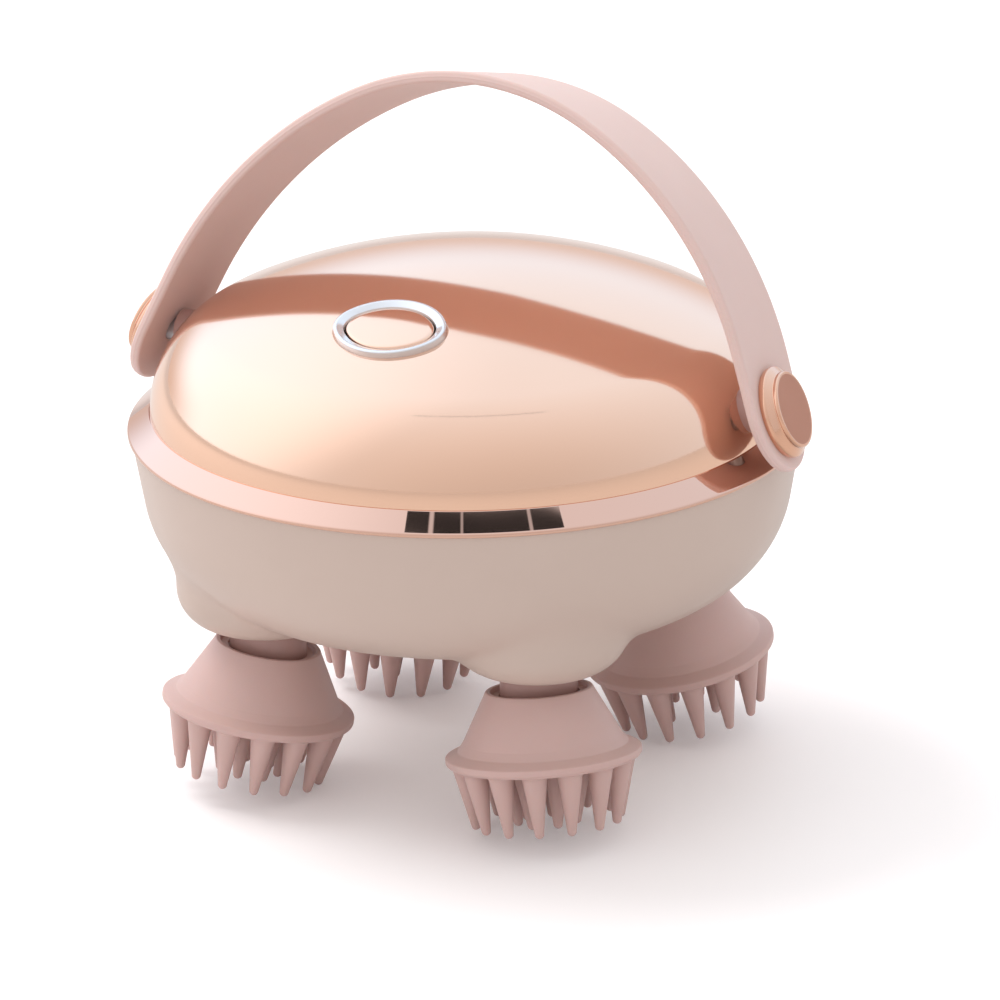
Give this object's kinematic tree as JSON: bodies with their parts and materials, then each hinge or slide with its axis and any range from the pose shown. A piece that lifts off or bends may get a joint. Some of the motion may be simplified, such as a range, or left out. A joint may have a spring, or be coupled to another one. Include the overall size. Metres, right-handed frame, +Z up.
{
  "type": "electric scalp massager",
  "caption": "Cordless scalp massager: a rose gold domed hand piece with a swinging strap handle and a power button, over soft pronged kneading heads.",
  "frame": {"origin": "on the surface it stands on, under the middle of the body", "axes": "+Z up, X along the handle pivots, -Y towards the front with the power button"},
  "size_m": [0.1296, 0.118, 0.1243],
  "materials": {
    "rose_mirror": "vacuum-plated rose gold mirror",
    "housing_plastic": "satin moulded, pale rose beige",
    "clear_ring": "polished silver",
    "soft_strap": "soft-touch matt, dusty pink",
    "seal_rubber": "matt",
    "dark_plastic": "moulded",
    "board_green": "solder mask",
    "steel": "turned",
    "rose_plastic": "polished",
    "gear_plastic": "natural acetal",
    "brass": "turned",
    "battery_wrap": "shrink wrap",
    "hub_plastic": "moulded",
    "head_silicone": "matt silicone, dusty rose"
  },
  "bodies": {
    "body": {"top_shell": "rose_mirror", "trim_band": "rose_mirror", "lower_housing": "housing_plastic", "seam_gasket": "seal_rubber", "power_ring": "clear_ring", "button_frame": "dark_plastic", "button_board": "board_green", "tact_switch": "dark_plastic", "pivot_pins": "steel", "pivot_spacers": "rose_plastic", "lower_plate": "dark_plastic", "upper_plate": "dark_plastic", "plate_pillars": "steel", "plate_screws": "steel", "sun_axle": "steel", "idler_pin": "steel", "motor": "steel", "motor_bracket": "dark_plastic", "motor_screws": "steel", "shaft_bushes": "brass", "shaft_seals": "seal_rubber", "top_bushes": "brass", "battery_cell": "battery_wrap", "battery_tray": "dark_plastic", "main_board": "board_green", "board_parts": "dark_plastic", "charge_socket": "dark_plastic"},
    "handle": {"handle_strap": "soft_strap", "pivot_cap_left": "rose_mirror", "pivot_cap_right": "rose_mirror"},
    "power_key": {"power_button": "rose_mirror"},
    "sun": {"sun_gear": "gear_plastic"},
    "idler": {"idler_gear": "gear_plastic"},
    "rotor": {"motor_shaft": "steel", "motor_pinion": "brass"},
    "head_front_left": {"output_gear_front_left": "gear_plastic", "output_shaft_front_left": "steel", "head_hub_front_left": "hub_plastic", "head_cap_front_left": "head_silicone"},
    "head_front_right": {"output_gear_front_right": "gear_plastic", "output_shaft_front_right": "steel", "head_hub_front_right": "hub_plastic", "head_cap_front_right": "head_silicone"},
    "head_back_left": {"output_gear_back_left": "gear_plastic", "output_shaft_back_left": "steel", "head_hub_back_left": "hub_plastic", "head_cap_back_left": "head_silicone"},
    "head_back_right": {"output_gear_back_right": "gear_plastic", "output_shaft_back_right": "steel", "head_hub_back_right": "hub_plastic", "head_cap_back_right": "head_silicone"}
  },
  "joints": [
    {"name": "handle_swing", "type": "hinge", "parent": "body", "child": "handle", "pos_m": [0, 0, 0.07136], "axis": [1, 0, 0], "range_deg": [-24, 56]},
    {"name": "power_press", "type": "slide", "parent": "body", "child": "power_key", "axis": [0, 0.269, -0.9631], "range_m": [0, 0.0008], "stiffness_N_per_m": 1500, "springref_m": -0.0006},
    {"name": "sun_spin", "type": "hinge", "parent": "body", "child": "sun", "pos_m": [0, 0, 0.04496], "axis": [0, 0, 1], "continuous": true},
    {"name": "idler_spin", "type": "hinge", "parent": "body", "child": "idler", "pos_m": [0.032, 0, 0.04496], "axis": [0, 0, 1], "continuous": true},
    {"name": "rotor_spin", "type": "hinge", "parent": "body", "child": "rotor", "pos_m": [0.0128, 0, 0.05096], "axis": [0, 0, 1], "continuous": true},
    {"name": "head_spin_front_left", "type": "hinge", "parent": "body", "child": "head_front_left", "pos_m": [-0.02616, -0.02616, 0.02561], "axis": [0, 0, 1], "continuous": true},
    {"name": "head_spin_front_right", "type": "hinge", "parent": "body", "child": "head_front_right", "pos_m": [0.02616, -0.02616, 0.02561], "axis": [0, 0, 1], "continuous": true},
    {"name": "head_spin_back_left", "type": "hinge", "parent": "body", "child": "head_back_left", "pos_m": [-0.02616, 0.02616, 0.02561], "axis": [0, 0, 1], "continuous": true},
    {"name": "head_spin_back_right", "type": "hinge", "parent": "body", "child": "head_back_right", "pos_m": [0.02616, 0.02616, 0.02561], "axis": [0, 0, 1], "continuous": true}
  ],
  "couplings": [
    {"joint": "idler_spin", "follows": "sun_spin", "ratio": -4.3333},
    {"joint": "rotor_spin", "follows": "sun_spin", "ratio": 13},
    {"joint": "head_spin_front_left", "follows": "sun_spin", "ratio": -2.3636},
    {"joint": "head_spin_front_right", "follows": "sun_spin", "ratio": -2.3636},
    {"joint": "head_spin_back_left", "follows": "sun_spin", "ratio": -2.3636},
    {"joint": "head_spin_back_right", "follows": "sun_spin", "ratio": -2.3636}
  ]
}
